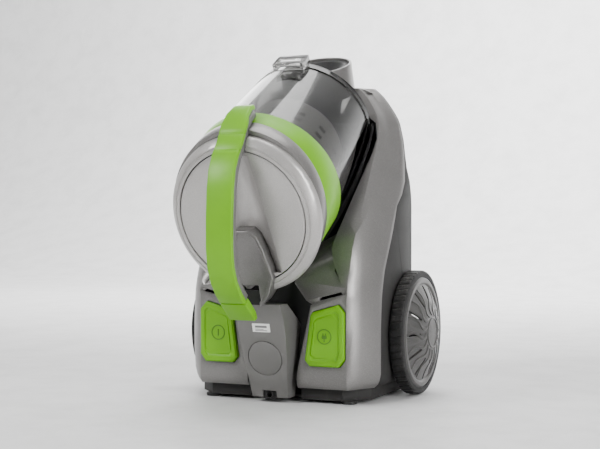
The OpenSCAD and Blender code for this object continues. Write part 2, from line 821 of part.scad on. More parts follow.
module hub() {
  hub_r = wheel_r - tyre_t;
  at_wheel() difference() {
    union() {
      rotate_extrude() polygon([
        [0, 2], [hub_r - 8, 2], [hub_r - 8, 0], [hub_r, 0], [hub_r, tyre_w - 1], [hub_r - 3, tyre_w + 1],
        [hub_r - 7, tyre_w + 1], [hub_r - 9, tyre_w - 1], [hub_r * 0.55, tyre_w + dome_h * 0.62],
        [hub_r * 0.3, tyre_w + dome_h * 0.9], [0, tyre_w + dome_h]
      ]);
    }
    // Hollow back
    translate([0, 0, -1]) rotate_extrude() polygon([
      [axle_r + 5, 0], [hub_r - 8, 0], [hub_r - 8, tyre_w - 4], [hub_r * 0.55, tyre_w + dome_h * 0.62 - 3],
      [axle_r + 5, tyre_w + dome_h * 0.8 - 4]
    ]);
    translate([0, 0, -1]) cylinder(r = axle_r + run_gap, h = tyre_w + 6);
    for (a = [0 : 30 : 330]) {
      rotate([0, 0, a]) translate([hub_r * 0.5, -1.5, tyre_w - 8]) cube([hub_r * 0.34, 3, 30]);
    }
  }
}

module tyre() {
  at_wheel() rotate_extrude() polygon([
    [wheel_r - tyre_t, 0], [wheel_r - 3, 0], [wheel_r - 0.8, 1], [wheel_r, 3], [wheel_r, tyre_w - 3],
    [wheel_r - 0.8, tyre_w - 1], [wheel_r - 3, tyre_w], [wheel_r - tyre_t, tyre_w]
  ]);
}

module hub_right() color([0.5, 0.5, 0.49]) hub();

module hub_left() color([0.5, 0.5, 0.49]) mirror([1, 0, 0]) hub();

module tyre_right() color([0.08, 0.08, 0.08]) tyre();

module tyre_left() color([0.08, 0.08, 0.08]) mirror([1, 0, 0]) tyre();

// Caster: swivels about an axis square to the floor side ---------------------------------------

caster_y = floor_side_y(caster_z) + 2.8;
fork_h = floor_y - caster_y;
caster_trail = 6;

module at_caster() translate([caster_x, caster_y, caster_z]) rotate([-90, 0, 0]) children();

module caster_socket() color([0.28, 0.28, 0.28]) at_caster() {
  difference() {
    translate([0, 0, -wall - 4]) cylinder(r = 11.9, h = wall + 4);
    translate([0, 0, -wall - 6]) cylinder(r = 4 + run_gap, h = 20);
  }
}

module caster_fork() color([0.3, 0.3, 0.3]) at_caster() {
  difference() {
    union() {
      translate([0, 0, -wall - 4]) cylinder(r = 4, h = wall + 4.8);
      translate([0, 0, 0.5]) cylinder(r = 17, h = 2.5);
      both_sides() translate([8, caster_trail - 7, 2]) cube([3, 14, fork_h - 3]);
    }
    translate([-20, caster_trail, fork_h - caster_r]) rotate([0, 90, 0]) cylinder(r = 2 + run_gap, h = 40);
    translate([-7.5, caster_trail - caster_r - 3, 3]) cube([15, 2 * caster_r + 6, 40]);
  }
}

module caster_wheel() color([0.12, 0.12, 0.12]) at_caster() {
  translate([0, caster_trail, fork_h - caster_r]) rotate([0, 90, 0]) {
    translate([0, 0, -6.8]) cylinder(r = caster_r, h = 13.6);
    translate([0, 0, -10.9]) cylinder(r = 2, h = 21.8);
  }
}

// Screws that hold the base to the upper shell, each in a recess of the floor side
module at_screws() {
  for (z = [28, 150, 230]) {
    both_sides() translate([half_w - 32, body_back - 1, z]) rotate([90, 0, 0]) children();
  }
}

module shell_screws() color([0.75, 0.75, 0.77]) at_screws() {
  difference() {
    union() {
      cylinder(r = 3.5, h = 1.6);
      cylinder(r = 1.8, h = 14);
    }
    translate([-2.6, -0.5, -1]) cube([5.2, 1, 1.8]);
    translate([-0.5, -2.6, -1]) cube([1, 5.2, 1.8]);
  }
}

// Bin -----------------------------------------------------------------------------------------

// Radius of the clear bin at a distance from the cap
function bin_at(s) = bin_r - 2 + (bin_end_r - bin_r + 2) * (s - band_end) / (bin_l - band_end);

module bin_shell() color([0.8, 0.82, 0.84, 0.35]) {
  neck = 14;
  neck_r = bin_r - 3.2;
  difference() {
    bin_frame() rotate_extrude() polygon([
      [neck_r - bin_wall, band_end - neck], [neck_r, band_end - neck], [neck_r, band_end + 0.2],
      [bin_at(band_end), band_end + 0.2], [bin_at(bin_l - 5), bin_l - 5], [bin_end_r + 1.6, bin_l - 5],
      [bin_end_r + 1.6, bin_l], [bin_at(bin_l) - bin_wall, bin_l],
      [bin_at(band_end) - bin_wall - 1.2, band_end + 3]
    ]);
    inlet_port();
  }
  // Hinge lugs
  bin_frame() difference() {
    both_sides() {
      translate([4, 0, 0]) knuckle(7.7);
      translate([4, bin_end_r - 1, bin_l - 5]) cube([7.7, 6, 5]);
    }
    translate([-hinge_w / 2, hinge_p, hinge_s]) rotate([0, 90, 0]) cylinder(r = pin_r, h = hinge_w);
    cylinder(r = bin_end_r - 2, h = big);
  }
}

// Barrel of the door hinge, in the bin frame
module knuckle(w) translate([0, hinge_p, hinge_s]) rotate([0, 90, 0]) cylinder(r = knuckle_r, h = w);

module hinge_pin() color([0.75, 0.75, 0.78]) bin_frame() {
  translate([-hinge_w / 2, hinge_p, hinge_s]) rotate([0, 90, 0]) cylinder(r = pin_r, h = hinge_w);
}

module bin_door() color([0.8, 0.82, 0.84, 0.35]) bin_frame() {
  difference() {
    union() {
      translate([0, 0, bin_l + door_gap]) cylinder(r = bin_end_r + 1, h = door_t);
      both_sides() {
        translate([12, 0, 0]) knuckle(6);
        translate([12, bin_end_r - 4, bin_l + door_gap]) cube([6, 9.4, knuckle_r + 0.6]);
      }
    }
    translate([0, 0, bin_l + door_gap + 2.4]) cylinder(r = bin_end_r - 5, h = door_t);
    translate([-30, hinge_p, hinge_s]) rotate([0, 90, 0]) cylinder(r = pin_r + run_gap, h = 60);
  }
}

module door_seal() color([0.12, 0.12, 0.12]) bin_frame() {
  translate([0, 0, bin_l + door_gap + 2.4]) tube(bin_end_r - 5.1, bin_end_r - 8, 1.2);
}

// Clear snap catch at the top of the door
module door_catch() color([0.85, 0.87, 0.88, 0.4]) bin_frame() {
  difference() {
    translate([-20, -bin_end_r - 12, bin_l - 20]) cube([40, 9.4, 20 + door_gap + door_t]);
    translate([-16, -bin_end_r - 9.4, bin_l - 16]) cube([32, 12, 12]);
    translate([-14, -bin_end_r - 14, bin_l - 12]) cube([28, 12, 5]);
    cylinder(r = bin_end_r + 1.7, h = big);
  }
}

module green_band() color([0.56, 0.75, 0.26]) {
  difference() {
    intersection() {
      bin_frame() cylinder(r = bin_r + 1, h = band_end, center = false);
      behind_cap(collar_depth + 0.05);
    }
    bin_frame() translate([0, 0, -1]) cylinder(r = bin_r - 3, h = band_end + 2);
  }
}

module cap_collar() color([0.62, 0.62, 0.61]) {
  difference() {
    intersection() {
      bin_frame() translate([0, 0, -60]) cylinder(r = bin_r + 2, h = 60 + band_end);
      behind_cap(cap_depth + 0.05);
    }
    handle_space();
    tongue_space();
    behind_cap(collar_depth);
    bin_frame() translate([0, 0, -70]) cylinder(r = bin_r - 3, h = 200);
  }
}

// Rounded ring of the cap, turned about the cap's own axis
module cap_ring() color([0.8, 0.79, 0.78]) {
  difference() {
    cap_frame() rotate_extrude() polygon([
      [cap_r + 1.3, 0.4], [cap_r + 2, 0], [cap_r + 5, 0.6], [cap_r + 5.2, 1.6], [cap_r + 6.2, 1.8],
      [cap_r + 6.6, 1.2], [cap_r + 9, 2.6], [cap_r + 12.6, 6], [cap_edge_r - 1, 9.6],
      [cap_edge_r, cap_depth], [cap_r + 2, cap_depth], [cap_r + 1.3, 5]
    ]);
    handle_space();
    tongue_space();
  }
}

module cap_panel() color([0.78, 0.77, 0.76]) {
  difference() {
    cap_frame() union() {
      rotate_extrude()
        polygon([[0, -1.6], [cap_r * 0.6, -1.2], [cap_r - 3, -0.2], [cap_r, 1], [cap_r, 4], [0, 4]]);
      intersection() {
        finger_scoop(2.5);
        cylinder(r = cap_r - 2, h = 60);
      }
    }
    cap_frame() finger_scoop(0);
    handle_space();
    tongue_space();
  }
}

// Tapered trough that leaves room for the fingers behind the handle: a leaning cone,
// sunk 7 mm below the face at the top and 18 mm at the bottom
module finger_scoop(grow) {
  top_y = 2 - cap_r;
  low_y = cap_r - 20;
  top_lift = 18;
  low_lift = 42;
  lean = atan((low_lift - top_lift) / (low_y - top_y));
  translate([0, top_y, -top_lift]) rotate([-90 - lean, 0, 0]) {
    cylinder(
      r1 = top_lift + 7 + grow,
      r2 = low_lift + 18 + grow,
      h = norm([low_y - top_y, low_lift - top_lift]) + grow
    );
  }
}

// Right half of the tongue outline on the cap face: x and distance below the middle
tongue_half = [[10, 14], [18, 21], [24, 36], [30, 58], [32, 70], [24, 90], [13, 104]];

module tongue_outline(grow) {
  polygon(concat(
    [for (p = tongue_half) [p[0] + grow, p[1] + (p[1] < 60 ? -grow : grow)]],
    [for (i = [len(tongue_half) - 1 : -1 : 0]) let (p = tongue_half[i])
      [-p[0] - grow, p[1] + (p[1] < 60 ? -grow : grow)]]
  ));
}

module tongue_space() cap_frame() {
  translate([0, 0, -20]) linear_extrude(60) tongue_outline(0.2);
  translate([-13.2, 90, -20]) cube([26.4, 30, 60]);
}

module latch_tongue() color([0.6, 0.6, 0.59]) {
  difference() {
    cap_frame() translate([0, 0, -6]) linear_extrude(28) tongue_outline(0);
    // Recess in the front, and the hollow behind it
    cap_frame() translate([0, 0, -10]) linear_extrude(7.4) tongue_outline(-3.2);
    cap_frame() translate([0, 0, 0.4]) linear_extrude(40) tongue_outline(-3);
    // Pocket for the hook
    cap_frame() translate([-11, 80, -20]) cube([22, 40, 60]);
    handle_space();
  }
}

module latch_hook() color([0.3, 0.3, 0.3]) cap_frame() {
  translate([-10, 86, -1]) cube([20, 18, 4]);
  translate([-10, 100, -1]) cube([20, 4, 20]);
  translate([-10, 100, 15]) cube([20, 8, 4]);
}

// Handle: middle line drawn in Y and Z -----------------------------------------------------------

handle_line = [
  [-50, 341], [-59, 339], [-71, 331], [-81, 315], [-89, 300], [-100, 286], [-108, 270],
  [-112, 250], [-114, 217], [-114, 185], [-111, 165], [-104, 149], [-93, 136], [-82, 126]
];

handle_front = min([for (p = handle_line) p[0]]) - 5;

function unit(v) = v / norm(v);
function line_dir(i) =
  let (n = len(handle_line) - 1)
  unit(handle_line[min(n, i + 1)] - handle_line[max(0, i - 1)]);
// A positive offset moves away from the cap
function line_off(i, d) = handle_line[i] + d * [line_dir(i)[1], -line_dir(i)[0]];

module handle_band(i0, i1, d0, d1) {
  polygon(concat(
    [for (i = [i0 : i1]) line_off(i, d0)],
    [for (i = [i1 : -1 : i0]) line_off(i, d1)]
  ));
}

// Room that the handle takes in the pieces it is fixed to
module handle_space() across_x(handle_w + 0.2) handle_band(0, len(handle_line) - 1, 5.1, -10.1);

module handle_strap() color([0.56, 0.75, 0.26]) {
  intersection() {
    across_x(handle_w) handle_band(0, len(handle_line) - 1, 5, -0.6);
    along_y(-big / 2, 0) polygon([
      [-handle_w / 2, 0], [handle_w / 2, 0], [handle_w / 2, 322], [handle_w / 2 - 5, 344],
      [handle_w / 2 - 9, 352], [9 - handle_w / 2, 352], [5 - handle_w / 2, 344], [-handle_w / 2, 322]
    ]);
  }
}

module handle_core() color([0.5, 0.5, 0.49]) {
  across_x(handle_w - 1.4) handle_band(1, len(handle_line) - 1, -0.9, -8);
}

module release_button() color([0.52, 0.7, 0.24]) {
  last = len(handle_line) - 1;
  gap = 0.8 * line_dir(last);
  across_x(handle_w) polygon([
    line_off(last, 5) + gap, line_off(last, -5) + gap, [-58, 113], [-54, 105], [-60, 102]
  ]);
}

// Inside the bin ----------------------------------------------------------------------------------

module cyclone_shroud() color([0.5, 0.5, 0.5]) bin_frame() {
  shroud_l = 88;
  difference() {
    union() {
      translate([0, 0, band_end]) cylinder(r = shroud_r, h = shroud_l);
      translate([0, 0, band_end - 3]) cylinder(r = bin_r - 6, h = 3);
    }
    translate([0, 0, band_end - 4]) cylinder(r = shroud_r - 2, h = shroud_l + 2);
    for (a = [0 : 30 : 330], s = [20 : 14 : 62]) {
      rotate([0, 0, a]) translate([shroud_r - 5, -5, band_end + s]) cube([10, 10, 6]);
    }
  }
}

module cyclone_cone() color([0.35, 0.35, 0.36]) bin_frame() {
  translate([0, 0, band_end + 2]) difference() {
    cylinder(r1 = shroud_r - 8, r2 = 22, h = 80);
    translate([0, 0, -1]) cylinder(r1 = shroud_r - 10, r2 = 20, h = 82);
  }
}

module foam_filter() color([0.25, 0.27, 0.3]) bin_frame() {
  translate([0, 0, 62]) cylinder(r = bin_r - 8, h = 12);
}

module filter_frame() color([0.55, 0.55, 0.55]) bin_frame() {
  translate([0, 0, 60]) tube(bin_r - 6.2, bin_r - 7.9, 16);
  for (a = [0, 90]) {
    rotate([0, 0, a]) translate([-bin_r + 7, -1.5, 58.5]) cube([2 * bin_r - 14, 3, 1.5]);
  }
}

// The part stands on the middle of its box, from the front of the handle to the floor side of the wheels
stand_y = (floor_y + handle_front) / 2;

module stand() translate([0, -stand_y, 0]) children();

stand() base_shell();
stand() upper_shell();
stand() cradle();
stand() centre_panel();
stand() panel_disc();
stand() rating_label();
stand() rear_feet();
stand() cord_gland();
stand() nose_collar();
stand() hose_socket();
stand() socket_seal();
stand() inlet_duct();
stand() outlet_duct();
stand() exhaust_grille();
stand() exhaust_filter();
stand() motor_can();
stand() fan_cover();
stand() motor_mounts();
stand() motor_shaft();
stand() armature();
stand() impeller();
stand() power_switch();
stand() reel_axle();
stand() reel_drum();
stand() wound_cord();
stand() reel_spring_case();
stand() brake_lever();
stand() power_pedal();
stand() power_icon();
stand() rewind_pedal();
stand() rewind_icon();
stand() pedal_springs();
stand() hub_left();
stand() tyre_left();
stand() hub_right();
stand() tyre_right();
stand() stub_axles();
stand() caster_socket();
stand() caster_fork();
stand() caster_wheel();
stand() shell_screws();
stand() bin_shell();
stand() hinge_pin();
stand() bin_door();
stand() door_seal();
stand() door_catch();
stand() green_band();
stand() cap_collar();
stand() cap_ring();
stand() cap_panel();
stand() latch_tongue();
stand() latch_hook();
stand() handle_strap();
stand() handle_core();
stand() release_button();
stand() cyclone_shroud();
stand() cyclone_cone();
stand() foam_filter();
stand() filter_frame();
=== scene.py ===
"""Canister vacuum cleaner, parked upright on its rear end: looks, light and camera."""
import json
import math

import bmesh
import bpy
from mathutils import Matrix, Vector


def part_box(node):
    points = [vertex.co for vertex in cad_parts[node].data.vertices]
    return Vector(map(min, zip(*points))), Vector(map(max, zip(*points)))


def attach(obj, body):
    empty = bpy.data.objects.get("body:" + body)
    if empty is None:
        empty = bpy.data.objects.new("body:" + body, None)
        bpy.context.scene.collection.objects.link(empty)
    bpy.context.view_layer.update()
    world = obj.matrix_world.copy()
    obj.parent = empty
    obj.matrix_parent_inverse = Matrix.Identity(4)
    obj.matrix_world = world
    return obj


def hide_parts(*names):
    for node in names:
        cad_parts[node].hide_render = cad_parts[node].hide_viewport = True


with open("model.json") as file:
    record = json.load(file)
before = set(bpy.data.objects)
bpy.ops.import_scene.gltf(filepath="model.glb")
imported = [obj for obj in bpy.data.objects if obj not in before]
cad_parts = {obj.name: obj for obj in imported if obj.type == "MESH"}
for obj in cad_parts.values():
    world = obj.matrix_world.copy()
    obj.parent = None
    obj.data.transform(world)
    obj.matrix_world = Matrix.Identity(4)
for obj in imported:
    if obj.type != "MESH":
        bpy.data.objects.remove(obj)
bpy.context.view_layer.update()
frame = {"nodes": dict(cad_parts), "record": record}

nodes = frame["nodes"]
body_of_node = {n: b for b, members in frame["record"]["behaviour"]["bodies"].items() for n in members}
slot_of_node = {p["node"]: p["material_slot"] for p in frame["record"]["subparts"]}
MM = 0.001


# Camera and light ---------------------------------------------------------------

LENS_MM, SENSOR_MM = 78, 36
EYE_AZIMUTH, EYE_ELEVATION, EYE_DISTANCE = math.radians(24), math.radians(0.7), 1.5
EYE_TARGET = Vector((0.044, -0.0545, 0.210))
LIT_MIDDLE = (0, -0.05, 0.2)
WORLD_STRENGTH = 0.36


def aim(obj, eye, target):
    """Put a camera or light at the eye, looking at the target, and link it."""
    obj.location = eye
    obj.rotation_euler = (target - eye).to_track_quat("-Z", "Y").to_euler()
    bpy.context.scene.collection.objects.link(obj)


def make_camera():
    level = math.cos(EYE_ELEVATION)
    back = Vector((
        math.sin(EYE_AZIMUTH) * level, -math.cos(EYE_AZIMUTH) * level, math.sin(EYE_ELEVATION)
    ))
    data = bpy.data.cameras.new("camera")
    data.lens, data.sensor_width = LENS_MM, SENSOR_MM
    camera = bpy.data.objects.new("camera", data)
    aim(camera, EYE_TARGET + back * EYE_DISTANCE, EYE_TARGET)
    bpy.context.scene.camera = camera


def soft_light(name, eye, target, size, watts):
    """A white rectangular area light."""
    data = bpy.data.lights.new(name, "AREA")
    data.shape = "RECTANGLE"
    data.size, data.size_y = size
    data.energy = watts
    aim(bpy.data.objects.new(name, data), Vector(eye), Vector(target))


def make_light():
    world = bpy.data.worlds.new("studio")
    bpy.context.scene.world = world
    world.use_nodes = True
    background = world.node_tree.nodes["Background"]
    background.inputs["Color"].default_value = (0.93, 0.94, 0.95, 1)
    background.inputs["Strength"].default_value = WORLD_STRENGTH
    soft_light("key_light", (-1.25, -1.6, 1.5), LIT_MIDDLE, (0.5, 0.5), 36)
    soft_light("side_light", (1.75, -0.85, 0.55), LIT_MIDDLE, (0.22, 1.5), 34)
    soft_light("top_light", (0.1, 0.3, 1.9), LIT_MIDDLE, (1.0, 1.0), 18)
    soft_light("back_light", (-0.9, 1.7, 1.1), LIT_MIDDLE, (1.0, 1.0), 12)
    soft_light("wall_light", (0.0, 1.5, 1.9), (-0.6, 3.2, 0.9), (2.6, 0.8), 190)


FLOOR_SIZE, FLOOR_DROP, FLOOR_REACH = 9, 0.0002, -1.3
WALL_HEIGHT, WALL_BEND = 3.5, 1.2


def make_floor():
    """One pale sheet that lies flat under the cleaner and curves up behind it."""
    bpy.ops.object.select_all(action="DESELECT")
    bpy.ops.mesh.primitive_plane_add(size=FLOOR_SIZE, location=(0, FLOOR_REACH, -FLOOR_DROP))
    floor = bpy.context.object
    floor.name = "floor"
    bpy.ops.object.mode_set(mode="EDIT")
    mesh = bmesh.from_edit_mesh(floor.data)
    for edge in mesh.edges:
        edge.select_set(all(v.co.y > FLOOR_SIZE / 2 - 0.5 for v in edge.verts))
    bpy.ops.mesh.extrude_region_move(TRANSFORM_OT_translate={"value": (0, 0, WALL_HEIGHT)})
    bpy.ops.object.mode_set(mode="OBJECT")
    bend = floor.modifiers.new("bend", "BEVEL")
    bend.width, bend.segments = WALL_BEND, 12
    apply_modifiers(floor)
    bpy.ops.object.transform_apply(location=True, rotation=True, scale=True)
    bpy.ops.object.shade_smooth()
    paint(floor, painted("studio_floor", (0.88, 0.88, 0.88), 0.6, grain=0.02, grain_mm=3))


# Shader node groups ---------------------------------------------------------------

def new_group(name, inputs, outputs):
    """An empty shader node group with float or colour sockets, and its in and out nodes."""
    group = bpy.data.node_groups.new(name, "ShaderNodeTree")
    for label, value in inputs.items():
        kind = "NodeSocketColor" if isinstance(value, tuple) else "NodeSocketFloat"
        socket = group.interface.new_socket(label, in_out="INPUT", socket_type=kind)
        socket.default_value = value
    for label, kind in outputs.items():
        group.interface.new_socket(label, in_out="OUTPUT", socket_type=kind)
    return group, group.nodes.new("NodeGroupInput"), group.nodes.new("NodeGroupOutput")


def add_node(tree, kind, links=(), **settings):
    """A node with its settings, and its inputs given as values or as other nodes' sockets."""
    node = tree.nodes.new(kind)
    for key, value in settings.items():
        setattr(node, key, value)
    for key, value in dict(links).items():
        if isinstance(value, bpy.types.NodeSocket):
            tree.links.new(value, node.inputs[key])
        else:
            node.inputs[key].default_value = value
    return node


def noise(tree, place, scale, detail=4.0, rough=0.55):
    node = add_node(tree, "ShaderNodeTexNoise", {"Vector": place, "Detail": detail, "Roughness": rough})
    if isinstance(scale, bpy.types.NodeSocket):
        tree.links.new(scale, node.inputs["Scale"])
    else:
        node.inputs["Scale"].default_value = scale
    return node.outputs["Fac"]


def math_node(tree, operation, a, b=0.0, clamp=False):
    return add_node(tree, "ShaderNodeMath", {0: a, 1: b}, operation=operation, use_clamp=clamp).outputs[0]


def ramp(tree, value, low, high, out_low=0.0, out_high=1.0):
    return add_node(tree, "ShaderNodeMapRange", {
        "Value": value, "From Min": low, "From Max": high, "To Min": out_low, "To Max": out_high
    }).outputs["Result"]


def object_place(tree):
    return add_node(tree, "ShaderNodeTexCoord").outputs["Object"]


def make_moulded_grain():
    """Spark-eroded texture of moulded plastic: a fine pebble height and a slow waviness."""
    group, inside, out = new_group(
        "moulded_grain", {"Scale": 900.0, "Pebble": 1.0, "Wave": 0.3}, {"Height": "NodeSocketFloat"}
    )
    place = object_place(group)
    cells = add_node(group, "ShaderNodeTexVoronoi", {"Vector": place, "Scale": inside.outputs["Scale"]})
    fine = noise(group, place, inside.outputs["Scale"], detail=2.0)
    slow = noise(group, place, 22.0, detail=1.0)
    pebble = math_node(group, "ADD", math_node(group, "MULTIPLY", cells.outputs["Distance"], 0.5), fine)
    total = math_node(
        group, "ADD",
        math_node(group, "MULTIPLY", pebble, inside.outputs["Pebble"]),
        math_node(group, "MULTIPLY", slow, inside.outputs["Wave"]),
    )
    group.links.new(total, out.inputs["Height"])
    return group


def make_handling():
    """Marks of use: cloudy finger smears, fine hairline scratches, and dust that lies on what faces up."""
    group, inside, out = new_group(
        "handling_marks",
        {"Smear Scale": 14.0, "Scratch Scale": 60.0},
        {"Smears": "NodeSocketFloat", "Scratches": "NodeSocketFloat", "Dust": "NodeSocketFloat"},
    )
    place = object_place(group)
    clouds = noise(group, place, inside.outputs["Smear Scale"], detail=5.0, rough=0.62)
    group.links.new(ramp(group, clouds, 0.42, 0.7), out.inputs["Smears"])
    hairs = []
    for turn in (0.5, 1.9, 2.7):
        mapping = add_node(group, "ShaderNodeMapping", {
            "Vector": place, "Rotation": (turn, turn * 1.7, turn * 0.6), "Scale": (1, 1, 0.02)
        })
        stretched = mapping.outputs["Vector"]
        hair = noise(group, stretched, inside.outputs["Scratch Scale"], detail=1.0, rough=0.4)
        hairs.append(ramp(group, hair, 0.70, 0.74))
    longest = math_node(group, "MAXIMUM", math_node(group, "MAXIMUM", hairs[0], hairs[1]), hairs[2])
    patches = ramp(group, noise(group, place, 9.0, detail=2.0), 0.5, 0.62)
    group.links.new(math_node(group, "MULTIPLY", longest, patches), out.inputs["Scratches"])
    geometry = add_node(group, "ShaderNodeNewGeometry")
    facing = add_node(group, "ShaderNodeSeparateXYZ", {"Vector": geometry.outputs["Normal"]})
    specks = ramp(group, noise(group, place, 420.0, detail=3.0), 0.45, 0.75)
    up = ramp(group, facing.outputs["Z"], 0.55, 1.0)
    group.links.new(math_node(group, "MULTIPLY", up, specks), out.inputs["Dust"])
    return group


def make_flake_glint():
    """Metallic flake: small cells, each with a value of its own; painted() makes the high ones lighter, as
    painted glints.
    """
    group, inside, out = new_group("metal_flake_glint", {"Scale": 2600.0}, {"Flake Glint": "NodeSocketFloat"})
    place = object_place(group)
    cells = add_node(group, "ShaderNodeTexVoronoi", {"Vector": place, "Scale": inside.outputs["Scale"]})
    grey = add_node(group, "ShaderNodeSeparateColor", {"Color": cells.outputs["Color"]})
    group.links.new(grey.outputs["Red"], out.inputs["Flake Glint"])
    return group


GRAIN = make_moulded_grain()
HANDLING = make_handling()
FLAKE_GLINT = make_flake_glint()


def use_group(tree, group, **values):
    node = tree.nodes.new("ShaderNodeGroup")
    node.node_tree = group
    for key, value in values.items():
        node.inputs[key.replace("_", " ")].default_value = value
    return node


# Materials ------------------------------------------------------------------------

def linear(srgb):
    return tuple(((c + 0.055) / 1.055) ** 2.4 if c > 0.04045 else c / 12.92 for c in srgb)


def new_material(name):
    material = bpy.data.materials.new(name)
    material.use_nodes = True
    tree = material.node_tree
    return material, tree, tree.nodes["Principled BSDF"]


def mix_colour(tree, mask, a, b):
    node = add_node(tree, "ShaderNodeMix", {0: mask}, data_type="RGBA")
    for index, value in ((6, a), (7, b)):
        if isinstance(value, bpy.types.NodeSocket):
            tree.links.new(value, node.inputs[index])
        else:
            node.inputs[index].default_value = (*value, 1)
    return node.outputs[2]


def use_bump(tree, shader, height, strength, distance):
    """Feed a height to the shader as a bump of the surface."""
    bump = add_node(tree, "ShaderNodeBump", {"Height": height, "Strength": strength, "Distance": distance})
    tree.links.new(bump.outputs["Normal"], shader.inputs["Normal"])


def darkened(colour, share):
    return tuple(c * share for c in colour)


FINE_DUST = linear((0.72, 0.70, 0.67))
ROAD_DUST = linear((0.6, 0.58, 0.55))
WORN_RUBBER = linear((0.30, 0.295, 0.29))


def painted(
    name, srgb, roughness, metallic=0.0, grain=0.15, grain_mm=0.9, flake_glint=0.0, dust=0.12, scratch=0.3,
    specular=0.5
):
    """Moulded or painted plastic with grain, smears, hairlines and a little dust."""
    material, tree, shader = new_material(name)
    base = linear(srgb)
    handling = use_group(tree, HANDLING)
    lighter = tuple(min(1, c * 1.10 + 0.012) for c in base)
    colour = mix_colour(tree, handling.outputs["Smears"], base, darkened(base, 0.90))
    # Painted glints: some flake cells make the colour lighter, as if they caught the light.
    if flake_glint:
        flake_glints = use_group(tree, FLAKE_GLINT)
        glint_amount = math_node(tree, "MULTIPLY", ramp(tree, flake_glints.outputs["Flake Glint"], 0.6, 1.0), flake_glint)
        colour = mix_colour(tree, glint_amount, colour, tuple(min(1, c * 1.6 + 0.05) for c in base))
    hairs = math_node(tree, "MULTIPLY", handling.outputs["Scratches"], scratch)
    colour = mix_colour(tree, hairs, colour, lighter)
    dusty = math_node(tree, "MULTIPLY", handling.outputs["Dust"], dust)
    colour = mix_colour(tree, dusty, colour, FINE_DUST)
    tree.links.new(colour, shader.inputs["Base Color"])
    rough = math_node(
        tree, "ADD", ramp(tree, handling.outputs["Smears"], 0, 1, roughness, roughness + 0.07),
        math_node(tree, "MULTIPLY", hairs, 0.12),
    )
    tree.links.new(rough, shader.inputs["Roughness"])
    shader.inputs["Metallic"].default_value = metallic
    shader.inputs["Specular IOR Level"].default_value = specular
    pebbles = use_group(tree, GRAIN, Scale=1.0 / (grain_mm * MM))
    height = math_node(tree, "SUBTRACT", pebbles.outputs["Height"], math_node(tree, "MULTIPLY", hairs, 2.0))
    use_bump(tree, shader, height, grain, 0.2 * MM)
    return material


def clear_plastic(name, srgb, roughness):
    """Smoked clear plastic with faint haze, fine scratches and a film of dust inside."""
    material, tree, shader = new_material(name)
    base = linear(srgb)
    handling = use_group(tree, HANDLING, Smear_Scale=11.0, Scratch_Scale=90.0)
    colour = mix_colour(tree, handling.outputs["Smears"], base, darkened(base, 0.93))
    tree.links.new(colour, shader.inputs["Base Color"])
    hazy = ramp(tree, handling.outputs["Smears"], 0, 1, roughness, roughness + 0.10)
    rough = math_node(tree, "ADD", hazy, math_node(tree, "MULTIPLY", handling.outputs["Scratches"], 0.15))
    tree.links.new(rough, shader.inputs["Roughness"])
    shader.inputs["Transmission Weight"].default_value = 1.0
    shader.inputs["IOR"].default_value = 1.46
    pebbles = use_group(tree, GRAIN, Scale=300.0, Pebble=0.05, Wave=1.0)
    use_bump(tree, shader, pebbles.outputs["Height"], 0.06, 0.5 * MM)
    return material


def metal(name, srgb, roughness):
    """Bare metal with a turned or rolled grain and a few stains."""
    material, tree, shader = new_material(name)
    place = object_place(tree)
    mapping = add_node(tree, "ShaderNodeMapping", {"Vector": place, "Scale": (1, 1, 12)})
    lines = noise(tree, mapping.outputs["Vector"], 260.0, detail=3.0)
    stains = ramp(tree, noise(tree, place, 30.0), 0.45, 0.7)
    base = linear(srgb)
    tree.links.new(mix_colour(tree, stains, base, darkened(base, 0.78)), shader.inputs["Base Color"])
    rough = ramp(tree, lines, 0.3, 0.7, roughness * 0.75, roughness * 1.3)
    tree.links.new(rough, shader.inputs["Roughness"])
    shader.inputs["Metallic"].default_value = 1.0
    use_bump(tree, shader, lines, 0.12, 0.2 * MM)
    return material


def rubber(name, srgb, roughness):
    """Matt rubber with mould bloom and scuffed, greyer patches."""
    material, tree, shader = new_material(name)
    place = object_place(tree)
    handling = use_group(tree, HANDLING, Smear_Scale=30.0, Scratch_Scale=140.0)
    base = linear(srgb)
    scuffs = ramp(tree, noise(tree, place, 160.0, detail=6.0, rough=0.7), 0.48, 0.72)
    worn = math_node(tree, "MULTIPLY", scuffs, 0.45)
    colour = mix_colour(tree, worn, base, WORN_RUBBER)
    dusty = math_node(tree, "MULTIPLY", handling.outputs["Dust"], 0.3)
    tree.links.new(mix_colour(tree, dusty, colour, ROAD_DUST), shader.inputs["Base Color"])
    tree.links.new(ramp(tree, scuffs, 0, 1, roughness, min(1, roughness + 0.2)), shader.inputs["Roughness"])
    shader.inputs["Specular IOR Level"].default_value = 0.35
    pebbles = use_group(tree, GRAIN, Scale=1500.0)
    use_bump(tree, shader, pebbles.outputs["Height"], 0.3, 0.3 * MM)
    return material


def open_foam(name, srgb):
    """Open-cell filter foam, with painted shade in its pores."""
    material, tree, shader = new_material(name)
    place = object_place(tree)
    cells = add_node(tree, "ShaderNodeTexVoronoi", {"Vector": place, "Scale": 650.0}).outputs["Distance"]
    base = linear(srgb)
    # Painted shade: the middle of each pore is darkened to a quarter.
    pore_shade = ramp(tree, cells, 0.1, 0.55)
    tree.links.new(mix_colour(tree, pore_shade, darkened(base, 0.25), base), shader.inputs["Base Color"])
    tree.links.new(ramp(tree, cells, 0, 1, 0.85, 1.0), shader.inputs["Roughness"])
    use_bump(tree, shader, cells, 0.9, MM)
    return material


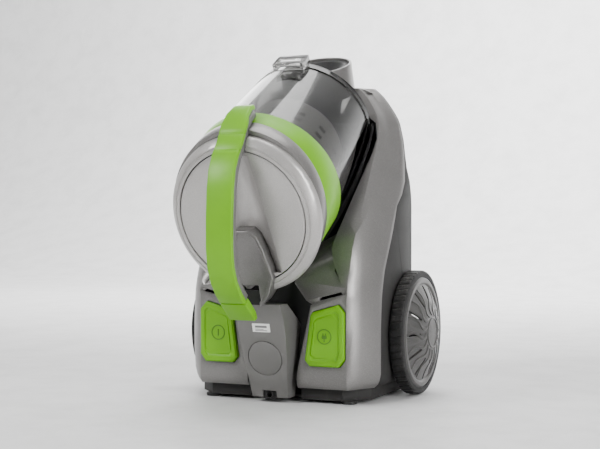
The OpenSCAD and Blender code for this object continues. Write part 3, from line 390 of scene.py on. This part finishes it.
def wound_wire(name, srgb, pitch_mm):
    """Turns of wire or cord lying side by side round a spool, with painted shade in the grooves between the
    turns.
    """
    material, tree, shader = new_material(name)
    place = object_place(tree)
    bands = add_node(tree, "ShaderNodeTexWave", {
        "Vector": place, "Scale": 1 / (pitch_mm * MM * 6.4), "Distortion": 0.4
    })
    base = linear(srgb)
    # Painted shade: each groove between turns is darkened to 45 percent.
    colour = mix_colour(tree, bands.outputs["Fac"], darkened(base, 0.45), base)
    tree.links.new(colour, shader.inputs["Base Color"])
    tree.links.new(ramp(tree, bands.outputs["Fac"], 0, 1, 0.5, 0.35), shader.inputs["Roughness"])
    use_bump(tree, shader, bands.outputs["Fac"], 0.8, MM)
    return material


SILVER = painted("silver_paint", (0.47, 0.463, 0.457), 0.31, metallic=0.55, grain=0.05, flake_glint=0.35)
# Painted light: the cap's silver is the body's silver made lighter, as the cap faces the key light.
LIT_CAP_SILVER = painted("cap_silver_painted_light", (0.69, 0.68, 0.672), 0.30, metallic=0.42, grain=0.04, flake_glint=0.35)
GREY = painted("grey_plastic", (0.43, 0.425, 0.418), 0.38, metallic=0.25, grain=0.10)
# Painted light: the grey plastic made lighter for the cyclone shroud, against the shade it lies in inside
# the bin.
LIT_SHROUD_GREY = painted("shroud_grey_painted_light", (0.72, 0.715, 0.705), 0.45, grain=0.10)
WHEEL_GREY = painted("wheel_cover_grey", (0.29, 0.286, 0.282), 0.34, metallic=0.35, grain=0.08, flake_glint=0.2)
CHARCOAL = painted(
    "charcoal_plastic", (0.185, 0.182, 0.179), 0.58, grain=0.35, grain_mm=1.0, scratch=0.4, specular=0.22
)
BLACK = painted("black_plastic", (0.10, 0.10, 0.10), 0.50, grain=0.3, scratch=0.4, specular=0.35)
GREEN = painted(
    "green_plastic", (0.43, 0.69, 0.02), 0.36, grain=0.05, grain_mm=0.7, dust=0.03, specular=0.3
)
DARK_GREEN = painted("icon_green", (0.28, 0.47, 0.04), 0.45, grain=0.05)
CLEAR = clear_plastic("smoked_clear_plastic", (0.66, 0.66, 0.655), 0.03)
TYRE = rubber("tyre_rubber", (0.085, 0.085, 0.085), 0.62)
SOFT_RUBBER = rubber("seal_rubber", (0.11, 0.11, 0.11), 0.55)
LABEL = painted("label_paper", (0.93, 0.93, 0.92), 0.35, grain=0.03, scratch=0.1, dust=0.0)
LABEL_INK = painted("label_ink", (0.42, 0.42, 0.42), 0.45, grain=0.02, scratch=0.1, dust=0.0)
STEEL = metal("steel", (0.72, 0.72, 0.73), 0.3)
COPPER = wound_wire("copper_winding", (0.72, 0.42, 0.20), 0.9)
CORD = wound_wire("cord_sheath", (0.10, 0.10, 0.10), 6.5)
FOAM = open_foam("filter_foam", (0.30, 0.32, 0.36))
FILTER_PAPER = wound_wire("pleated_filter", (0.86, 0.86, 0.82), 4.0)

SLOT_MATERIAL = {
    "silver_plastic": SILVER, "pale_silver": LIT_CAP_SILVER, "grey_plastic": GREY,
    "charcoal_plastic": CHARCOAL, "dark_plastic": BLACK, "green_plastic": GREEN,
    "green_dark": DARK_GREEN, "clear_plastic": CLEAR,
    "tyre_rubber": TYRE, "soft_rubber": SOFT_RUBBER, "white_label": LABEL, "steel": STEEL,
    "copper_winding": COPPER, "cord_sheath": CORD, "foam": FOAM, "filter_paper": FILTER_PAPER,
}


# Shaping tools ----------------------------------------------------------------------

def only(obj):
    """Make one object the whole selection and the active one."""
    bpy.ops.object.select_all(action="DESELECT")
    obj.select_set(True)
    bpy.context.view_layer.objects.active = obj


def apply_modifiers(obj):
    only(obj)
    for modifier in list(obj.modifiers):
        bpy.ops.object.modifier_apply(modifier=modifier.name)


def paint(obj, material):
    obj.data.materials.clear()
    obj.data.materials.append(material)


def finish_piece(obj, name, body, material, angle=35):
    """Smooth, paint and fix a finished piece to its body."""
    only(obj)
    bpy.ops.object.transform_apply(location=True, rotation=True, scale=True)
    bpy.ops.object.shade_smooth_by_angle(angle=math.radians(angle))
    obj.name = obj.data.name = name
    paint(obj, material)
    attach(obj, body)
    return obj


def merged_copy(node):
    """A copy of a CAD node's mesh with its loose triangles joined and its flat faces whole."""
    obj = nodes[node].copy()
    obj.data = nodes[node].data.copy()
    obj.parent = None
    for key in [k for k in obj.keys() if k.startswith("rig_")]:
        del obj[key]
    bpy.context.scene.collection.objects.link(obj)
    only(obj)
    bpy.ops.object.mode_set(mode="EDIT")
    bpy.ops.mesh.select_all(action="SELECT")
    bpy.ops.mesh.remove_doubles(threshold=0.00002)
    bpy.ops.mesh.dissolve_limited(angle_limit=math.radians(0.6))
    bpy.ops.object.mode_set(mode="OBJECT")
    return obj


def new_piece(kind, **place):
    """A mesh primitive, alone in the selection."""
    bpy.ops.object.select_all(action="DESELECT")
    getattr(bpy.ops.mesh, f"primitive_{kind}_add")(**place)
    obj = bpy.context.object
    bpy.ops.object.transform_apply(location=True, rotation=True, scale=True)
    return obj


def copied(obj, matrix):
    """A copy of a piece with its own mesh, moved by a matrix."""
    twin = obj.copy()
    twin.data = obj.data.copy()
    twin.data.transform(matrix)
    bpy.context.scene.collection.objects.link(twin)
    return twin


def joined(pieces):
    only(pieces[0])
    for piece in pieces:
        piece.select_set(True)
    bpy.ops.object.join()
    return bpy.context.object


def cut_away(obj, cutter):
    """Take the cutter's shape out of a piece, then throw the cutter away."""
    cut = obj.modifiers.new("cut", "BOOLEAN")
    cut.operation, cut.solver, cut.object = "DIFFERENCE", "EXACT", cutter
    apply_modifiers(obj)
    bpy.data.objects.remove(cutter)


def round_edges(obj, width_mm, segments=2, angle=30):
    bevel = obj.modifiers.new("edge_round", "BEVEL")
    bevel.width, bevel.segments = width_mm * MM, segments
    bevel.limit_method, bevel.angle_limit = "ANGLE", math.radians(angle)
    apply_modifiers(obj)


def take_place(obj, node, material=None, smooth=35):
    """The piece stands where the node does and takes over its body and slot."""
    slot = slot_of_node[node]
    finish_piece(obj, node + "_skin", body_of_node[node], material or SLOT_MATERIAL[slot], smooth)
    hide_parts(node)
    return obj


def softened(node, bevel_mm=0.6, segments=2, angle=30, material=None, smooth=35):
    """The node again with its moulded edges rounded off; it takes the node's place."""
    obj = merged_copy(node)
    round_edges(obj, bevel_mm, segments, angle)
    return take_place(obj, node, material, smooth)


def outward(obj):
    """Turn every face of a closed piece outwards."""
    only(obj)
    bpy.ops.object.mode_set(mode="EDIT")
    bpy.ops.mesh.select_all(action="SELECT")
    bpy.ops.mesh.normals_make_consistent(inside=False)
    bpy.ops.object.mode_set(mode="OBJECT")


# Wheels -------------------------------------------------------------------------------

RIBS = 16
TREAD_GROOVES = 54


class Wheel:
    """Places and sizes of one rear wheel, from the boxes of its tyre and its hub."""

    def __init__(self, side):
        low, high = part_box("tyre_" + side)
        hub_low, hub_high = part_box("hub_" + side)
        self.side = side
        self.out = 1 if side == "right" else -1
        self.middle = (low + high) / 2
        self.tyre_r = (high.z - low.z) / 2
        self.tyre_w = high.x - low.x
        self.dome = (hub_high.x - hub_low.x) - self.tyre_w
        self.inner_face = self.middle.copy()
        self.inner_face.x = low.x if side == "right" else high.x

    def cover_height(self, radius):
        """How far the cover stands out from the wheel's inner face at a radius."""
        hub_r = self.tyre_r - 8 * MM
        steps = [
            (0.0, self.tyre_w + self.dome), (hub_r * 0.3, self.tyre_w + self.dome * 0.9),
            (hub_r * 0.55, self.tyre_w + self.dome * 0.62), (hub_r - 9 * MM, self.tyre_w - MM)
        ]
        for (r0, h0), (r1, h1) in zip(steps, steps[1:]):
            if radius <= r1:
                return h0 + (h1 - h0) * (radius - r0) / (r1 - r0)
        return steps[-1][1]


RIB_START, RIB_MARGIN = 21 * MM, 18.5 * MM
RIB_WIDTH, RIB_PROUD, RIB_SUNK, RIB_SWING = 1.3 * MM, 0.9 * MM, 1.2 * MM, 5.5 * MM
RING_R, OUTER_RING_MARGIN = 17.5 * MM, 13.5 * MM


def cover_rib(wheel):
    """One raised rib of the wheel cover: it runs out along Y in a shallow S, and stands out along X."""
    length = wheel.tyre_r - RIB_MARGIN - RIB_START
    rib = new_piece("cube", size=1)
    bpy.ops.object.mode_set(mode="EDIT")
    mesh = bmesh.from_edit_mesh(rib.data)
    bmesh.ops.scale(mesh, vec=(1, length, 1), verts=mesh.verts)
    long_edges = [e for e in mesh.edges if abs(e.verts[0].co.y - e.verts[1].co.y) > 0.5 * length]
    bmesh.ops.subdivide_edges(mesh, edges=long_edges, cuts=13, use_grid_fill=True)
    for v in mesh.verts:
        along = v.co.y / length + 0.5
        radius = RIB_START + along * length
        swell = 1.0 + 0.9 * (1 - along) ** 2
        swing = RIB_SWING * math.sin(2 * math.pi * along) * (1 - 0.55 * along)
        lift = RIB_PROUD if v.co.x > 0 else -RIB_SUNK
        v.co = Vector((
            wheel.cover_height(radius) + lift, radius, v.co.z * 2 * RIB_WIDTH * swell + swing
        ))
    bmesh.update_edit_mesh(rib.data)
    bpy.ops.object.mode_set(mode="OBJECT")
    round_edges(rib, 0.6, segments=2, angle=40)
    return rib


def cover_ring(place, radius, height, thickness, around, across):
    """A round bead on the wheel cover."""
    ring = new_piece(
        "torus", major_radius=radius, minor_radius=thickness, major_segments=around, minor_segments=across,
        rotation=(0, math.pi / 2, 0),
    )
    ring.data.transform(place @ Matrix.Translation((height, 0, 0)))
    return ring


def wheel_cover(wheel):
    """The wheel cover with its S-shaped ribs and the beads inside and outside them."""
    node = "hub_" + wheel.side
    place = Matrix.Translation(wheel.inner_face) @ Matrix.Diagonal((wheel.out, 1, 1, 1))
    rib = cover_rib(wheel)
    turns = [2 * math.pi * i / RIBS for i in range(RIBS)]
    ribs = [copied(rib, place @ Matrix.Rotation(turn, 4, "X")) for turn in turns]
    bpy.data.objects.remove(rib)
    ring = cover_ring(place, RING_R, wheel.cover_height(RING_R) - 0.4 * MM, 1.5 * MM, 64, 12)
    outer_ring = cover_ring(
        place, wheel.tyre_r - OUTER_RING_MARGIN, wheel.tyre_w - 0.6 * MM, 1.4 * MM, 96, 10
    )
    piece = joined(ribs + [ring, outer_ring])
    outward(piece)
    finish_piece(
        piece, "wheel_ribs_" + wheel.side, body_of_node[node], WHEEL_GREY, angle=50
    )
    softened(node, bevel_mm=0.8, material=WHEEL_GREY)


def treaded_tyre(wheel):
    """The tyre with slanted grooves across its tread."""
    groove = new_piece("cube", size=1)
    groove.data.transform(Matrix.Diagonal((wheel.tyre_w + 4 * MM, 2.2 * MM, 1.1 * MM, 1)))
    slant = Matrix.Rotation(math.radians(12), 4, "Y")
    to_rim = Matrix.Translation((0, wheel.tyre_r, 0)) @ slant
    turns = [2 * math.pi * i / TREAD_GROOVES for i in range(TREAD_GROOVES)]
    cutters = [
        copied(groove, Matrix.Translation(wheel.middle) @ Matrix.Rotation(turn, 4, "X") @ to_rim)
        for turn in turns
    ]
    bpy.data.objects.remove(groove)
    tyre = merged_copy("tyre_" + wheel.side)
    cut_away(tyre, joined(cutters))
    take_place(tyre, "tyre_" + wheel.side, TYRE, smooth=30)


# Handle, pedals and label ---------------------------------------------------------------

STRAP_SEAMS = (0.311, 0.293)
SEAM_WIDTH, SEAM_DEPTH = 0.7 * MM, 0.8 * MM
BAR_THICKNESS, BAR_PROUD = 0.12 * MM, 0.04 * MM
# Across and up from the label's middle, width and height, in millimetres
LABEL_BARS = ((0, 1.5, 15, 2.6), (-2.2, -1.6, 10.6, 0.8), (0, -3.2, 15, 0.8))


def cut_plane(obj, z):
    """An edge loop all round a piece at a height."""
    only(obj)
    bpy.ops.object.mode_set(mode="EDIT")
    bpy.ops.mesh.select_all(action="SELECT")
    bpy.ops.mesh.bisect(plane_co=(0, 0, z), plane_no=(0, 0, 1))
    bpy.ops.object.mode_set(mode="OBJECT")


def handle_strap():
    """The strap with two moulded seams across it near its upper end."""
    strap = merged_copy("handle_strap")
    round_edges(strap, 2.0, segments=4, angle=35)
    for z in STRAP_SEAMS:
        for step in (-SEAM_WIDTH, 0, SEAM_WIDTH):
            cut_plane(strap, z + step)
        for v in strap.data.vertices:
            if abs(v.co.z - z) < 0.05 * MM:
                v.co -= v.normal * SEAM_DEPTH
    take_place(strap, "handle_strap", smooth=40)


def front_prism(node, share, depth):
    """A prism on a piece's front outline, shrunk to a share of its size and sunk to a depth."""
    prism = merged_copy(node)
    front = min(v.co.y for v in prism.data.vertices)
    bpy.ops.object.mode_set(mode="EDIT")
    bpy.ops.mesh.select_mode(type="VERT")
    bpy.ops.mesh.select_all(action="DESELECT")
    mesh = bmesh.from_edit_mesh(prism.data)
    for v in mesh.verts:
        v.select = v.co.y > front + 0.2 * MM
    bmesh.update_edit_mesh(prism.data)
    bpy.ops.mesh.delete(type="VERT")
    bpy.ops.mesh.select_all(action="SELECT")
    bpy.ops.mesh.extrude_region_move(TRANSFORM_OT_translate={"value": (0, 2 * depth, 0)})
    bpy.ops.mesh.select_all(action="SELECT")
    bpy.ops.mesh.convex_hull()
    bpy.ops.object.mode_set(mode="OBJECT")
    outward(prism)
    corners = [v.co for v in prism.data.vertices]
    middle = sum(corners, Vector()) / len(corners)
    middle.y = front
    prism.data.transform(
        Matrix.Translation(middle + Vector((0, -depth, 0))) @ Matrix.Diagonal((share, 1, share, 1))
        @ Matrix.Translation(-middle)
    )
    return prism


def pedal(node):
    """A pedal with a groove that follows its outline on the face."""
    groove = front_prism(node, 0.78, 1.0 * MM)
    cut_away(groove, front_prism(node, 0.725, 1.2 * MM))
    piece = merged_copy(node)
    round_edges(piece, 0.9, segments=3, angle=35)
    cut_away(piece, groove)
    take_place(piece, node)


def rating_label():
    """The white label with a few plain grey bars on it."""
    label = softened("rating_label", bevel_mm=0.12, segments=1)
    face = max((f for f in label.data.polygons if f.normal.y < -0.5), key=lambda f: f.area)
    lean = Vector((0, -1, 0)).rotation_difference(face.normal).to_matrix().to_4x4()
    place = Matrix.Translation(face.center) @ lean
    bars = []
    for x, z, width, height in LABEL_BARS:
        bar = new_piece("cube", size=1)
        size = Matrix.Diagonal((width * MM, BAR_THICKNESS, height * MM, 1))
        bar.data.transform(place @ Matrix.Translation((x * MM, -BAR_PROUD, z * MM)) @ size)
        bars.append(bar)
    ink = joined(bars)
    round_edges(ink, 0.03, segments=1)
    finish_piece(
        ink, "label_bars", body_of_node["rating_label"], LABEL_INK
    )


# Assembly -----------------------------------------------------------------------------

make_camera()
make_light()
make_floor()

for node, obj in nodes.items():
    paint(obj, SLOT_MATERIAL[slot_of_node[node]])

SKINS = {
    "upper_shell": dict(bevel_mm=1.0, segments=2, angle=40, smooth=40),
    "base_shell": dict(bevel_mm=0.8, angle=35),
    "cradle": dict(bevel_mm=0.5, angle=40),
    "centre_panel": dict(bevel_mm=0.9, segments=3),
    "panel_disc": dict(bevel_mm=0.4, segments=2),
    "rear_feet": dict(bevel_mm=0.8),
    "nose_collar": dict(bevel_mm=0.8, segments=3),
    "hose_socket": dict(bevel_mm=0.5),
    "cap_collar": dict(bevel_mm=0.6),
    "cap_ring": dict(bevel_mm=0.6, segments=2, angle=25),
    "cap_panel": dict(bevel_mm=0.7, segments=3, angle=25),
    "latch_tongue": dict(bevel_mm=1.2, segments=3),
    "handle_core": dict(bevel_mm=0.8, segments=2),
    "release_button": dict(bevel_mm=1.2, segments=3),
    "green_band": dict(bevel_mm=0.6),
    "door_catch": dict(bevel_mm=0.8, segments=2),
    "power_icon": dict(bevel_mm=0.15),
    "rewind_icon": dict(bevel_mm=0.15),
    "caster_fork": dict(bevel_mm=0.6),
    "exhaust_grille": dict(bevel_mm=0.3),
    "cord_gland": dict(bevel_mm=0.4),
}
for node, how in SKINS.items():
    softened(node, **how)
for wheel in (Wheel("left"), Wheel("right")):
    wheel_cover(wheel)
    treaded_tyre(wheel)
for node in ("power_pedal", "rewind_pedal"):
    pedal(node)
handle_strap()
rating_label()
# The shroud takes the lighter grey, painted light against its shade.
paint(nodes["cyclone_shroud"], LIT_SHROUD_GREY)
